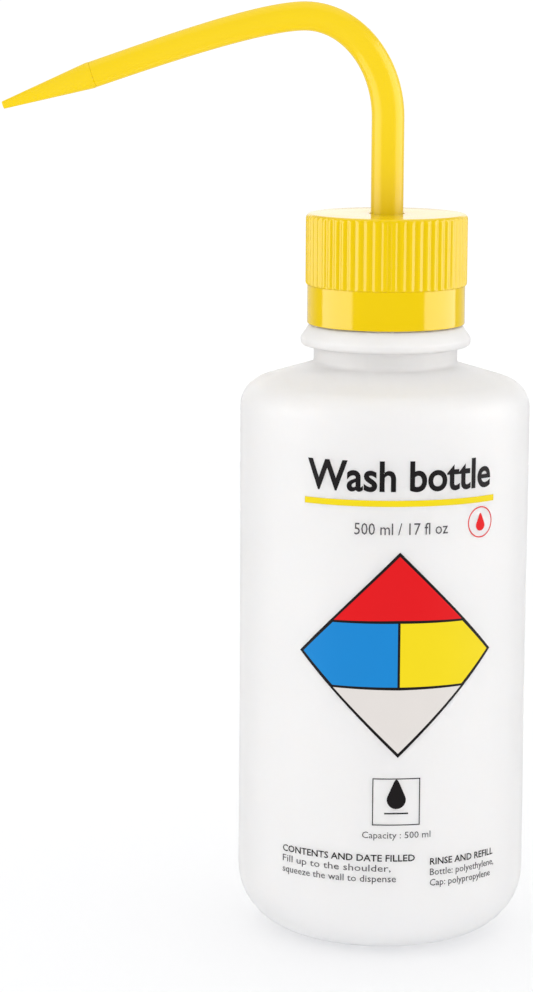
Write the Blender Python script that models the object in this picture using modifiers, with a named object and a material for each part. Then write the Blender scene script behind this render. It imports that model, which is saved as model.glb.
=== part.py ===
"""Squeeze wash bottle: a blow-moulded bottle, a ribbed screw cap, a clamped closure insert with
a ball vent valve, and a swivelling bent spout with its tip and dip tube.

Metres, +Z up. The origin is the centre of the flat base, and the spout points along -X.
"""

import math

import bmesh
import bpy
from mathutils import Matrix, Vector

mm = 0.001

# Gap between pieces that touch or slide on each other
TOUCH_GAP = 0.3 * mm
RUNNING_GAP = 0.35 * mm

# Bottle
BODY_RADIUS = 38.0 * mm
BODY_DRAW_IN = 0.2 * mm
DRAW_IN_AT_QUARTERS = 0.7
BOTTLE_WALL = 1.3 * mm
HEEL_RADIUS = 15.4 * mm
SHOULDER_START_Z = 139.9 * mm
SHOULDER_RADIUS = 7.6 * mm
SHOULDER_SLOPE = math.radians(17.0)
NECK_STEP = 1.25 * mm
NECK_FILLET = 1.3 * mm
NECK_WALL = 1.35 * mm

# Transfer bead under the cap, measured from the neck and its foot
BEAD_RISE = 3.5 * mm
BEAD_ABOVE_NECK_FOOT = 4.1 * mm
BEAD_HEIGHT = 4.6 * mm
BEAD_EDGE = 1.0 * mm

# Screw thread, 6 turns to the inch
THREAD_PITCH = 25.4 / 6 * mm
THREAD_ROOT_RADIUS = 17.55 * mm
THREAD_DEPTH = 1.2 * mm
THREAD_ROOT_WIDTH = 2.4 * mm
THREAD_CREST_WIDTH = 1.1 * mm
THREAD_TURNS = 1.6
THREAD_RUNOUT = math.radians(50.0)
THREAD_BELOW_RIM = 2.6 * mm
THREAD_SINK = 0.4 * mm
THREAD_LEAST_RISE = 0.12

# Cap
CAP_GAP_OVER_BEAD = 1.6 * mm
CAP_HEIGHT = 28.7 * mm
CAP_WALL = 1.5 * mm
CAP_TOP_WALL = 1.6 * mm
RIB_BAND_HEIGHT = 18.55 * mm
RIB_COUNT = 58
RIB_RISE = 0.5 * mm
RIB_VALLEY = 0.2 * mm
CAP_EDGE_ROUND = 1.2 * mm
# Shares of the rounded top edge that its first facet rises and draws in
EDGE_FACET_RISE = 0.6
EDGE_FACET_DRAW_IN = 0.25
CAP_LEAD_IN = 0.6 * mm
CAP_THREAD_DEPTH = 1.05 * mm
CAP_THREAD_ROOT_WIDTH = 1.9 * mm
CAP_THREAD_CREST_WIDTH = 0.9 * mm
CAP_VENT_RADIUS = 0.9 * mm
CAP_VENT_FROM_AXIS = 12.5 * mm

# Closure insert and its seal
INSERT_FLANGE_THICKNESS = 2.0 * mm
GASKET_THICKNESS = 1.0 * mm
PLUG_DEPTH = 6.0 * mm
PLUG_WALL = 1.1 * mm
PLUG_LEAD_IN = 0.5 * mm
HUB_DEPTH = 14.5 * mm
HUB_WALL = 1.3 * mm

# Spout, dip tube and the flange that the cap traps
SPOUT_BASE_RADIUS = 4.25 * mm
SPOUT_APEX_RADIUS = 3.75 * mm
SPOUT_END_RADIUS = 3.42 * mm
SPOUT_WALL = 1.1 * mm
SPOUT_BELOW_HUB = 2.0 * mm
BEND_START_ABOVE_CAP = 24.6 * mm
APEX_ABOVE_CAP = 50.7 * mm
APEX_REACH = 21.6 * mm
ARM_END_REACH = 76.5 * mm
ARM_DROP = 15.3 * mm
ARM_SLOPE = math.radians(19.0)
BEND_TENSION = 0.55
ARM_START_TENSION = 0.22
ARM_END_TENSION = 0.27
SPOUT_FLANGE_REACH = 2.65 * mm
SPOUT_FLANGE_THICKNESS = 1.0 * mm
O_RING_SECTION_RADIUS = 0.6 * mm
TIP_LENGTH = 24.6 * mm
TIP_COLLAR = 0.6 * mm
TIP_END_RADIUS = 1.0 * mm
TIP_ORIFICE_RADIUS = 0.5 * mm
TIP_ORIFICE_LENGTH = 3.0 * mm
TIP_SPIGOT_LENGTH = 6.0 * mm
TIP_SPIGOT_WALL = 0.9 * mm
DIP_TUBE_WALL = 0.9 * mm
DIP_TUBE_INSERTION = 12.0 * mm
DIP_TUBE_OFF_FLOOR = 2.5 * mm
DIP_TUBE_CUT = math.radians(35.0)

# Ball vent valve in the insert
BALL_RADIUS = 2.2 * mm
BALL_SIDE_GAP = 0.4 * mm
BALL_TRAVEL = 2.0 * mm
VALVE_WALL = 1.3 * mm
VALVE_OFF_HUB = 0.2 * mm
VALVE_SEAT_HOLE_RADIUS = 1.0 * mm
VALVE_SEAT_HEIGHT = 1.4 * mm
CAGE_HOLE_RADIUS = 1.2 * mm
CAGE_HEIGHT = 2.0 * mm
CAGE_SLOT_WIDTH = 0.8 * mm
CAGE_SLOT_DEPTH = 0.7 * mm

ROUND_STEPS = 48
SMALL_STEPS = 24
CUT_MARGIN = 2.0 * mm
UNION_OVERLAP = 1.0 * mm

# Radii that follow from the sizes above
NECK_RADIUS = THREAD_ROOT_RADIUS + NECK_STEP
BEAD_RADIUS = NECK_RADIUS + BEAD_RISE
NECK_BORE = THREAD_ROOT_RADIUS - NECK_WALL
CAP_BORE = THREAD_ROOT_RADIUS + THREAD_DEPTH + RUNNING_GAP
CAP_SKIRT_RADIUS = CAP_BORE + CAP_WALL
RIB_CREST_RADIUS = CAP_SKIRT_RADIUS + RIB_RISE
RIB_VALLEY_RADIUS = CAP_SKIRT_RADIUS - RIB_VALLEY
SPOUT_FLANGE_RADIUS = SPOUT_BASE_RADIUS + SPOUT_FLANGE_REACH
HUB_BORE = SPOUT_BASE_RADIUS + RUNNING_GAP
O_RING_RADIUS = SPOUT_BASE_RADIUS + TOUCH_GAP + O_RING_SECTION_RADIUS
O_RING_POCKET = O_RING_RADIUS + O_RING_SECTION_RADIUS + TOUCH_GAP
HUB_RADIUS = O_RING_POCKET + HUB_WALL
VALVE_BORE = BALL_RADIUS + BALL_SIDE_GAP
VALVE_RADIUS = VALVE_BORE + VALVE_WALL
VALVE_X = HUB_RADIUS + VALVE_BORE + VALVE_OFF_HUB
DIP_TUBE_RADIUS = SPOUT_BASE_RADIUS - SPOUT_WALL - TOUCH_GAP

# Heights that follow
SHOULDER_TOP_Z = SHOULDER_START_Z + SHOULDER_RADIUS * math.cos(SHOULDER_SLOPE)
SHOULDER_TOP_R = BODY_RADIUS - SHOULDER_RADIUS * (1 - math.sin(SHOULDER_SLOPE))
NECK_FOOT_Z = SHOULDER_TOP_Z + (SHOULDER_TOP_R - NECK_RADIUS) * math.tan(SHOULDER_SLOPE)
BEAD_BOTTOM_Z = NECK_FOOT_Z + BEAD_ABOVE_NECK_FOOT
BEAD_TOP_Z = BEAD_BOTTOM_Z + BEAD_HEIGHT
CAP_BOTTOM_Z = BEAD_TOP_Z + CAP_GAP_OVER_BEAD
CAP_TOP_Z = CAP_BOTTOM_Z + CAP_HEIGHT
CAP_UNDERSIDE_Z = CAP_TOP_Z - CAP_TOP_WALL
INSERT_TOP_Z = CAP_UNDERSIDE_Z - TOUCH_GAP
INSERT_FLANGE_Z = INSERT_TOP_Z - INSERT_FLANGE_THICKNESS
GASKET_TOP_Z = INSERT_FLANGE_Z - TOUCH_GAP
GASKET_BOTTOM_Z = GASKET_TOP_Z - GASKET_THICKNESS
RIM_Z = GASKET_BOTTOM_Z - TOUCH_GAP
HUB_BOTTOM_Z = INSERT_FLANGE_Z - HUB_DEPTH

# Stack of the spout's flange and O-ring in the insert
SPOUT_FLANGE_TOP_Z = CAP_UNDERSIDE_Z - 2 * TOUCH_GAP
SPOUT_FLANGE_BOTTOM_Z = SPOUT_FLANGE_TOP_Z - SPOUT_FLANGE_THICKNESS
FLANGE_POCKET_Z = SPOUT_FLANGE_BOTTOM_Z - TOUCH_GAP
O_RING_Z = FLANGE_POCKET_Z - O_RING_SECTION_RADIUS
O_RING_POCKET_Z = O_RING_Z - O_RING_SECTION_RADIUS - TOUCH_GAP
SPOUT_BOTTOM_Z = HUB_BOTTOM_Z - SPOUT_BELOW_HUB

# Ball vent: the ball hangs below a conical seat by its travel, and rests on the cage
SEAT_TOP_Z = INSERT_FLANGE_Z
SEAT_HALF_ANGLE = math.atan((VALVE_BORE - VALVE_SEAT_HOLE_RADIUS) / VALVE_SEAT_HEIGHT)
SEAT_APEX_Z = SEAT_TOP_Z + VALVE_SEAT_HOLE_RADIUS / math.tan(SEAT_HALF_ANGLE)
BALL_SHUT_Z = SEAT_APEX_Z - (BALL_RADIUS + TOUCH_GAP) / math.sin(SEAT_HALF_ANGLE)
BALL_REST_Z = BALL_SHUT_Z - BALL_TRAVEL
CAGE_TOP_Z = BALL_REST_Z - math.sqrt(BALL_RADIUS**2 - CAGE_HOLE_RADIUS**2) - TOUCH_GAP
VALVE_BOTTOM_Z = CAGE_TOP_Z - CAGE_HEIGHT


def clear_scene():
    for obj in list(bpy.data.objects):
        bpy.data.objects.remove(obj, do_unlink=True)


def new_collection(name):
    collection = bpy.data.collections.new(name)
    bpy.context.scene.collection.children.link(collection)
    return collection


def new_material(name, color, roughness, transmission=0.0):
    material = bpy.data.materials.new(name)
    material.use_nodes = True
    shader = material.node_tree.nodes["Principled BSDF"]
    shader.inputs["Base Color"].default_value = (*color, 1.0)
    shader.inputs["Roughness"].default_value = roughness
    shader.inputs["Metallic"].default_value = 0.0
    shader.inputs["Transmission Weight"].default_value = transmission
    material.diffuse_color = (*color, 1.0)
    return material


def add_object(name, mesh, collection, material=None, parent=None):
    obj = bpy.data.objects.new(name, mesh)
    collection.objects.link(obj)
    if material:
        mesh.materials.append(material)
    obj.parent = parent
    return obj


def add_axis(name, location, parent=None):
    """An empty on a joint's axis, which the pieces that move there hang on."""
    empty = bpy.data.objects.new(name, None)
    empty.empty_display_size = 10 * mm
    empty.location = location
    empty.parent = parent
    PARTS.objects.link(empty)
    return empty


def as_tool(obj):
    """Marks an object that only shapes another one."""
    obj.hide_render = True
    obj.display_type = "WIRE"
    return obj


def arc(center_r, center_z, radius, start, end, count):
    """Points of a round stretch of a turned profile, from one angle to another."""
    points = []
    for i in range(count + 1):
        angle = start + (end - start) * i / count
        points.append((center_r + radius * math.cos(angle), center_z + radius * math.sin(angle)))
    return points


def turned(name, profile, collection, closed, steps=ROUND_STEPS, material=None, parent=None):
    """Turns a profile of (radius, height) points about Z. An open one begins and ends on the axis."""
    bm = bmesh.new()
    verts = [bm.verts.new((r, 0.0, z)) for r, z in profile]
    for a, b in zip(verts, verts[1:]):
        bm.edges.new((a, b))
    if closed:
        bm.edges.new((verts[-1], verts[0]))
    mesh = bpy.data.meshes.new(name)
    bm.to_mesh(mesh)
    bm.free()
    obj = add_object(name, mesh, collection, material, parent)
    screw = obj.modifiers.new("Turn", "SCREW")
    screw.axis = "Z"
    screw.steps = steps
    screw.render_steps = steps
    screw.use_merge_vertices = True
    screw.merge_threshold = 0.01 * mm
    screw.use_smooth_shade = True
    return obj


def boolean(obj, tool, operation):
    modifier = obj.modifiers.new(f"{operation.title()} {tool.name}", "BOOLEAN")
    modifier.operation = operation
    modifier.object = as_tool(tool)


def thread_ridge(name, root_r, depth, root_width, crest_width, start_z, turns):
    """A right-hand helical ridge that fades out at both ends. A negative depth points inwards.

    start_z is the ridge's height where it starts, at angle 0. Its foot is sunk into the wall.
    """
    sink = -math.copysign(THREAD_SINK, depth)
    count = round(turns * ROUND_STEPS)
    bm = bmesh.new()
    rings = []
    for i in range(count + 1):
        angle = turns * 2 * math.pi * i / count
        fade = min(1.0, angle / THREAD_RUNOUT, (turns * 2 * math.pi - angle) / THREAD_RUNOUT)
        rise = depth * max(fade, THREAD_LEAST_RISE)
        z = start_z + THREAD_PITCH * angle / (2 * math.pi)
        section = (
            (root_r + sink, z - root_width / 2),
            (root_r + rise, z - crest_width / 2),
            (root_r + rise, z + crest_width / 2),
            (root_r + sink, z + root_width / 2),
        )
        ring = [bm.verts.new((r * math.cos(angle), r * math.sin(angle), h)) for r, h in section]
        if rings:
            for k in range(4):
                bm.faces.new((rings[-1][k], ring[k], ring[(k + 1) % 4], rings[-1][(k + 1) % 4]))
        rings.append(ring)
    bm.faces.new(rings[0])
    bm.faces.new(reversed(rings[-1]))
    bmesh.ops.recalc_face_normals(bm, faces=bm.faces)
    mesh = bpy.data.meshes.new(name)
    bm.to_mesh(mesh)
    bm.free()
    return add_object(name, mesh, TOOLS)


def cylinder(name, radius, low_z, high_z, x=0.0, y=0.0, steps=SMALL_STEPS):
    """An upright cylinder, used to cut or to join."""
    bm = bmesh.new()
    bmesh.ops.create_cone(
        bm, cap_ends=True, segments=steps, radius1=radius, radius2=radius, depth=high_z - low_z
    )
    bmesh.ops.translate(bm, verts=bm.verts, vec=(x, y, (low_z + high_z) / 2))
    mesh = bpy.data.meshes.new(name)
    bm.to_mesh(mesh)
    bm.free()
    return add_object(name, mesh, TOOLS)


def make_bottle():
    """One turned shell: floor, heel, straight body, shoulder, neck, bead and finish."""
    heel_r = BODY_RADIUS - HEEL_RADIUS
    middle_z = (HEEL_RADIUS + SHOULDER_START_Z) / 2
    quarter_z = (SHOULDER_START_Z - HEEL_RADIUS) / 4
    corner_r = BODY_RADIUS - SHOULDER_RADIUS
    slope_end = math.pi / 2 - SHOULDER_SLOPE
    fillet_z = NECK_FOOT_Z + NECK_FILLET
    fillet_r = NECK_RADIUS + NECK_FILLET
    edge = BEAD_EDGE
    wall = BOTTLE_WALL

    inner = [(0.0, wall)]
    inner += arc(heel_r, HEEL_RADIUS, HEEL_RADIUS - wall, -math.pi / 2, 0, 5)
    inner += [(BODY_RADIUS - BODY_DRAW_IN - wall, middle_z)]
    inner += arc(corner_r, SHOULDER_START_Z, SHOULDER_RADIUS - wall, 0, slope_end, 4)
    inner += [
        (NECK_BORE + NECK_FILLET, NECK_FOOT_Z - wall),
        (NECK_BORE, NECK_FOOT_Z + NECK_FILLET),
        (NECK_BORE, RIM_Z),
    ]
    outer = [
        (THREAD_ROOT_RADIUS, RIM_Z),
        (THREAD_ROOT_RADIUS, BEAD_TOP_Z),
        (BEAD_RADIUS - 2 * edge, BEAD_TOP_Z),
        (BEAD_RADIUS - edge / 2, BEAD_TOP_Z - edge / 2),
        (BEAD_RADIUS, BEAD_TOP_Z - 1.5 * edge),
        (BEAD_RADIUS, BEAD_BOTTOM_Z + 2 * edge),
        (BEAD_RADIUS - edge, BEAD_BOTTOM_Z + 0.6 * edge),
        (NECK_RADIUS, BEAD_BOTTOM_Z),
    ]
    outer += arc(fillet_r, fillet_z, NECK_FILLET, math.pi, math.pi + slope_end, 3)
    outer += arc(corner_r, SHOULDER_START_Z, SHOULDER_RADIUS, slope_end, 0, 6)
    outer += [
        (BODY_RADIUS - BODY_DRAW_IN * DRAW_IN_AT_QUARTERS, middle_z + quarter_z),
        (BODY_RADIUS - BODY_DRAW_IN, middle_z),
        (BODY_RADIUS - BODY_DRAW_IN * DRAW_IN_AT_QUARTERS, middle_z - quarter_z),
    ]
    outer += arc(heel_r, HEEL_RADIUS, HEEL_RADIUS, 0, -math.pi / 2, 7)
    outer += [(0.0, 0.0)]
    bottle = turned("bottle_body", inner + outer, PARTS, False, material=NATURAL)
    boolean(
        bottle,
        thread_ridge(
            "bottle_thread_tool",
            THREAD_ROOT_RADIUS,
            THREAD_DEPTH,
            THREAD_ROOT_WIDTH,
            THREAD_CREST_WIDTH,
            BOTTLE_THREAD_Z,
            THREAD_TURNS,
        ),
        "UNION",
    )
    return bottle


def make_cap(parent):
    """A ribbed band on a smooth skirt, hollowed, bored for the spout and threaded inside."""
    band_bottom = CAP_TOP_Z - RIB_BAND_HEIGHT
    points_per_rib = 4
    bm = bmesh.new()
    bmesh.ops.create_circle(
        bm, cap_ends=True, segments=RIB_COUNT * points_per_rib, radius=RIB_CREST_RADIUS
    )
    rib_middle = (RIB_CREST_RADIUS + RIB_VALLEY_RADIUS) / 2
    rib_half = (RIB_CREST_RADIUS - RIB_VALLEY_RADIUS) / 2
    for vert in bm.verts:
        phase = math.atan2(vert.co.y, vert.co.x) * RIB_COUNT
        vert.co *= (rib_middle + rib_half * math.cos(phase)) / vert.co.length
        vert.co.z = band_bottom
    # Up the ribs, then over the top edge in two facets, which pull them in to a circle
    edge = CAP_EDGE_ROUND
    crest = RIB_CREST_RADIUS
    sections = (
        (RIB_BAND_HEIGHT - edge, crest),
        (edge * EDGE_FACET_RISE, crest - edge * EDGE_FACET_DRAW_IN),
        (edge * (1 - EDGE_FACET_RISE), crest - edge),
    )
    top = bm.faces[:]
    for rise, most_radius in sections:
        grown = bmesh.ops.extrude_face_region(bm, geom=top)["geom"]
        if rise < edge:
            bmesh.ops.delete(bm, geom=top, context="FACES_ONLY")
        top = [item for item in grown if isinstance(item, bmesh.types.BMFace)]
        for vert in {v for face in top for v in face.verts}:
            radius = math.hypot(vert.co.x, vert.co.y)
            inward = min(most_radius, radius) / radius
            vert.co = (vert.co.x * inward, vert.co.y * inward, vert.co.z + rise)
    bmesh.ops.recalc_face_normals(bm, faces=bm.faces)
    mesh = bpy.data.meshes.new("screw_cap")
    bm.to_mesh(mesh)
    bm.free()
    cap = add_object("screw_cap", mesh, PARTS, YELLOW, parent)

    skirt_top = band_bottom + UNION_OVERLAP
    skirt = cylinder(
        "cap_skirt_tool", CAP_SKIRT_RADIUS, CAP_BOTTOM_Z, skirt_top, steps=ROUND_STEPS
    )
    boolean(cap, skirt, "UNION")
    cavity = [
        (0.0, CAP_UNDERSIDE_Z),
        (CAP_BORE, CAP_UNDERSIDE_Z),
        (CAP_BORE, CAP_BOTTOM_Z + CAP_LEAD_IN),
        (CAP_BORE + CAP_LEAD_IN, CAP_BOTTOM_Z),
        (CAP_BORE + CAP_LEAD_IN, CAP_BOTTOM_Z - CUT_MARGIN),
        (0.0, CAP_BOTTOM_Z - CUT_MARGIN),
    ]
    boolean(cap, turned("cap_cavity_tool", cavity, TOOLS, False), "DIFFERENCE")
    above = CAP_TOP_Z + CUT_MARGIN
    below = CAP_UNDERSIDE_Z - CUT_MARGIN
    boolean(cap, cylinder("cap_hole_tool", HUB_BORE, below, above), "DIFFERENCE")
    vent = cylinder("cap_vent_tool", CAP_VENT_RADIUS, below, above, y=CAP_VENT_FROM_AXIS, steps=12)
    boolean(cap, vent, "DIFFERENCE")
    thread = thread_ridge(
        "cap_thread_tool",
        CAP_BORE,
        -CAP_THREAD_DEPTH,
        CAP_THREAD_ROOT_WIDTH,
        CAP_THREAD_CREST_WIDTH,
        CAP_THREAD_Z,
        THREAD_TURNS,
    )
    boolean(cap, thread, "UNION")
    return cap


def make_insert(parent):
    """The clamped disc with its plug skirt, its hub for the spout, and the vent valve's chamber."""
    plug_outer = NECK_BORE - RUNNING_GAP
    plug_inner = plug_outer - PLUG_WALL
    flange_r = THREAD_ROOT_RADIUS + THREAD_DEPTH / 2
    profile = [
        (SPOUT_FLANGE_RADIUS + RUNNING_GAP, INSERT_TOP_Z),
        (flange_r, INSERT_TOP_Z),
        (flange_r, INSERT_FLANGE_Z),
        (plug_outer, INSERT_FLANGE_Z),
        (plug_outer, INSERT_FLANGE_Z - PLUG_DEPTH + PLUG_LEAD_IN),
        (plug_outer - PLUG_LEAD_IN, INSERT_FLANGE_Z - PLUG_DEPTH),
        (plug_inner, INSERT_FLANGE_Z - PLUG_DEPTH),
        (plug_inner, INSERT_FLANGE_Z),
        (HUB_RADIUS, INSERT_FLANGE_Z),
        (HUB_RADIUS, HUB_BOTTOM_Z),
        (HUB_BORE, HUB_BOTTOM_Z),
        (HUB_BORE, O_RING_POCKET_Z),
        (O_RING_POCKET, O_RING_POCKET_Z),
        (O_RING_POCKET, FLANGE_POCKET_Z),
        (SPOUT_FLANGE_RADIUS + RUNNING_GAP, FLANGE_POCKET_Z),
    ]
    insert = turned("closure_insert", profile, PARTS, True, material=NATURAL, parent=parent)
    sunk_z = (FLANGE_POCKET_Z + INSERT_FLANGE_Z) / 2
    housing = cylinder("valve_housing_tool", VALVE_RADIUS, VALVE_BOTTOM_Z, sunk_z, x=VALVE_X)
    boolean(insert, housing, "UNION")
    chamber = [
        (0.0, INSERT_TOP_Z + CUT_MARGIN),
        (VALVE_SEAT_HOLE_RADIUS, INSERT_TOP_Z + CUT_MARGIN),
        (VALVE_SEAT_HOLE_RADIUS, SEAT_TOP_Z),
        (VALVE_BORE, SEAT_TOP_Z - VALVE_SEAT_HEIGHT),
        (VALVE_BORE, VALVE_BOTTOM_Z - CUT_MARGIN),
        (0.0, VALVE_BOTTOM_Z - CUT_MARGIN),
    ]
    bore = turned("valve_bore_tool", chamber, TOOLS, False, SMALL_STEPS)
    bore.location.x = VALVE_X
    boolean(insert, bore, "DIFFERENCE")
    return insert


def make_seals(parent):
    """The flat gasket on the neck's rim, and the O-ring round the spout."""
    outer_r = THREAD_ROOT_RADIUS + THREAD_DEPTH / 2
    inner_r = NECK_BORE + TOUCH_GAP / 2
    ring = [
        (outer_r, GASKET_TOP_Z),
        (outer_r, GASKET_BOTTOM_Z),
        (inner_r, GASKET_BOTTOM_Z),
        (inner_r, GASKET_TOP_Z),
    ]
    turned("rim_gasket", ring, PARTS, True, material=SEAL, parent=parent)
    section = arc(O_RING_RADIUS, O_RING_Z, O_RING_SECTION_RADIUS, 2 * math.pi, 0, 8)[:-1]
    turned("spout_o_ring", section, PARTS, True, SMALL_STEPS, RUBBER, parent)


def make_valve(insert_parent, ball_parent):
    """The ball, its origin at its centre, and the slotted cage that it rests on."""
    bm = bmesh.new()
    bmesh.ops.create_uvsphere(bm, u_segments=16, v_segments=10, radius=BALL_RADIUS)
    mesh = bpy.data.meshes.new("vent_ball")
    bm.to_mesh(mesh)
    bm.free()
    mesh.shade_smooth()
    add_object("vent_ball", mesh, PARTS, GLASS, ball_parent)

    cage_r = VALVE_BORE - TOUCH_GAP
    profile = [
        (cage_r, CAGE_TOP_Z),
        (cage_r, VALVE_BOTTOM_Z),
        (CAGE_HOLE_RADIUS, VALVE_BOTTOM_Z),
        (CAGE_HOLE_RADIUS, CAGE_TOP_Z),
    ]
    cage = turned("vent_ball_cage", profile, PARTS, True, SMALL_STEPS, NATURAL, insert_parent)
    cage.location.x = VALVE_X
    # Slots let air past the ball when it lies on the cage
    for i, turn in enumerate((0.0, math.pi / 2)):
        bm = bmesh.new()
        reach = 2 * (cage_r + CUT_MARGIN)
        size = Matrix.Diagonal((reach, CAGE_SLOT_WIDTH, 2 * CAGE_SLOT_DEPTH, 1.0))
        bmesh.ops.create_cube(bm, size=1.0, matrix=size)
        mesh = bpy.data.meshes.new(f"cage_slot_tool_{i}")
        bm.to_mesh(mesh)
        bm.free()
        slot = add_object(f"cage_slot_tool_{i}", mesh, TOOLS)
        slot.location = (VALVE_X, 0.0, CAGE_TOP_Z)
        slot.rotation_euler.z = turn
        boolean(cage, slot, "DIFFERENCE")


def make_spout(parent):
    """The bent tapering tube with its trapped flange. Its curve is drawn, then given its wall."""
    curve = bpy.data.curves.new("spout_path", "CURVE")
    curve.dimensions = "3D"
    curve.bevel_depth = SPOUT_BASE_RADIUS
    curve.bevel_resolution = 6
    curve.resolution_u = 9
    curve.use_fill_caps = False
    spline = curve.splines.new("BEZIER")
    start_z = CAP_TOP_Z + BEND_START_ABOVE_CAP
    apex_z = CAP_TOP_Z + APEX_ABOVE_CAP
    rise = BEND_TENSION * (apex_z - start_z)
    arm = ARM_END_REACH - APEX_REACH
    # Handles of a third of its length keep the leg straight
    leg = (start_z - SPOUT_BOTTOM_Z) / 3
    arm_back = Vector((math.cos(ARM_SLOPE), 0.0, math.sin(ARM_SLOPE)))
    end_back = arm_back * arm * ARM_END_TENSION
    # Place, handle before, handle after and outer radius of each point of the path
    path = (
        (Vector((0, 0, SPOUT_BOTTOM_Z)), (0, 0, -leg), (0, 0, leg), SPOUT_BASE_RADIUS),
        (Vector((0, 0, start_z)), (0, 0, -leg), (0, 0, rise), SPOUT_BASE_RADIUS),
        (
            Vector((-APEX_REACH, 0, apex_z)),
            (BEND_TENSION * APEX_REACH, 0, 0),
            (-ARM_START_TENSION * arm, 0, 0),
            SPOUT_APEX_RADIUS,
        ),
        (Vector((-ARM_END_REACH, 0, apex_z - ARM_DROP)), end_back, -end_back, SPOUT_END_RADIUS),
    )
    spline.bezier_points.add(len(path) - 1)
    for point, (place, before, after, radius) in zip(spline.bezier_points, path):
        point.handle_left_type = "FREE"
        point.handle_right_type = "FREE"
        point.co = place
        point.handle_left = place + Vector(before)
        point.handle_right = place + Vector(after)
        point.radius = radius / SPOUT_BASE_RADIUS
    drawn = add_object("spout_path", curve, TOOLS)
    bpy.context.view_layer.update()
    graph = bpy.context.evaluated_depsgraph_get()
    mesh = bpy.data.meshes.new_from_object(drawn.evaluated_get(graph))
    mesh.name = "spout_tube"
    mesh.transform(drawn.matrix_world)
    bpy.data.objects.remove(drawn)
    bm = bmesh.new()
    bm.from_mesh(mesh)
    bmesh.ops.remove_doubles(bm, verts=bm.verts, dist=0.005 * mm)
    bmesh.ops.recalc_face_normals(bm, faces=bm.faces)
    bm.to_mesh(mesh)
    bm.free()
    mesh.shade_smooth()
    tube = add_object("spout_tube", mesh, PARTS, YELLOW, parent)
    shell = tube.modifiers.new("Wall", "SOLIDIFY")
    shell.thickness = SPOUT_WALL
    shell.offset = -1.0
    foot_r = SPOUT_BASE_RADIUS - SPOUT_WALL / 2
    flange = [
        (SPOUT_FLANGE_RADIUS, SPOUT_FLANGE_TOP_Z),
        (SPOUT_FLANGE_RADIUS, SPOUT_FLANGE_BOTTOM_Z),
        (foot_r, SPOUT_FLANGE_BOTTOM_Z),
        (foot_r, SPOUT_FLANGE_TOP_Z),
    ]
    boolean(tube, turned("spout_flange_tool", flange, TOOLS, True, SMALL_STEPS), "UNION")
    return tube


def make_tip(parent):
    """The turned conical tip, whose spigot plugs into the end of the spout's arm."""
    spigot_r = SPOUT_END_RADIUS - SPOUT_WALL - TOUCH_GAP
    bore_r = spigot_r - TIP_SPIGOT_WALL
    foot = TOUCH_GAP
    profile = [
        (TIP_END_RADIUS, TIP_LENGTH),
        (SPOUT_END_RADIUS, foot + TIP_COLLAR),
        (SPOUT_END_RADIUS, foot),
        (spigot_r, foot),
        (spigot_r, -TIP_SPIGOT_LENGTH),
        (bore_r, -TIP_SPIGOT_LENGTH),
        (bore_r, foot),
        (TIP_ORIFICE_RADIUS, TIP_LENGTH - TIP_ORIFICE_LENGTH),
        (TIP_ORIFICE_RADIUS, TIP_LENGTH),
    ]
    tip = turned("spout_tip", profile, PARTS, True, SMALL_STEPS, YELLOW, parent)
    tip.location = (-ARM_END_REACH, 0.0, CAP_TOP_Z + APEX_ABOVE_CAP - ARM_DROP)
    tip.rotation_euler.y = -(math.pi / 2 + ARM_SLOPE)
    return tip


def make_dip_tube(parent):
    """The straight tube that plugs into the spout's foot. Its lower end is cut at an angle."""
    top_z = SPOUT_BOTTOM_Z + DIP_TUBE_INSERTION
    bottom_z = BOTTLE_WALL + DIP_TUBE_OFF_FLOOR
    bore = DIP_TUBE_RADIUS - DIP_TUBE_WALL
    profile = [
        (DIP_TUBE_RADIUS, top_z),
        (DIP_TUBE_RADIUS, bottom_z),
        (bore, bottom_z),
        (bore, top_z),
    ]
    tube = turned("dip_tube", profile, PARTS, True, SMALL_STEPS, NATURAL, parent)
    side = 8 * DIP_TUBE_RADIUS
    bm = bmesh.new()
    bmesh.ops.create_cube(bm, size=side)
    bmesh.ops.translate(bm, verts=bm.verts, vec=(0, 0, -side / 2))
    mesh = bpy.data.meshes.new("dip_tube_cut_tool")
    bm.to_mesh(mesh)
    bm.free()
    cut = add_object("dip_tube_cut_tool", mesh, TOOLS)
    cut.location = (-DIP_TUBE_RADIUS, 0.0, bottom_z)
    cut.rotation_euler.y = -DIP_TUBE_CUT
    boolean(tube, cut, "DIFFERENCE")
    return tube


# The bottle's thread ends just under the rim. The cap's ridge lies under it, flank to flank
# with a running gap, where a tightened cap pulls down on the bottle's thread.
BOTTLE_THREAD_Z = RIM_Z - THREAD_BELOW_RIM - THREAD_TURNS * THREAD_PITCH
FLANK_HALVES = (THREAD_ROOT_WIDTH + CAP_THREAD_ROOT_WIDTH) / 2
CAP_THREAD_Z = BOTTLE_THREAD_Z - FLANK_HALVES + TOUCH_GAP

clear_scene()
PARTS = new_collection("wash_bottle")
TOOLS = new_collection("wash_bottle_tools")
NATURAL = new_material("natural_ldpe", (0.86, 0.87, 0.86), 0.45, 0.3)
YELLOW = new_material("yellow_pp", (0.92, 0.62, 0.01), 0.32)
SEAL = new_material("foam_gasket", (0.90, 0.90, 0.88), 0.8)
RUBBER = new_material("black_rubber", (0.03, 0.03, 0.03), 0.6)
GLASS = new_material("glass_ball", (0.85, 0.92, 0.90), 0.05, 0.8)

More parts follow.
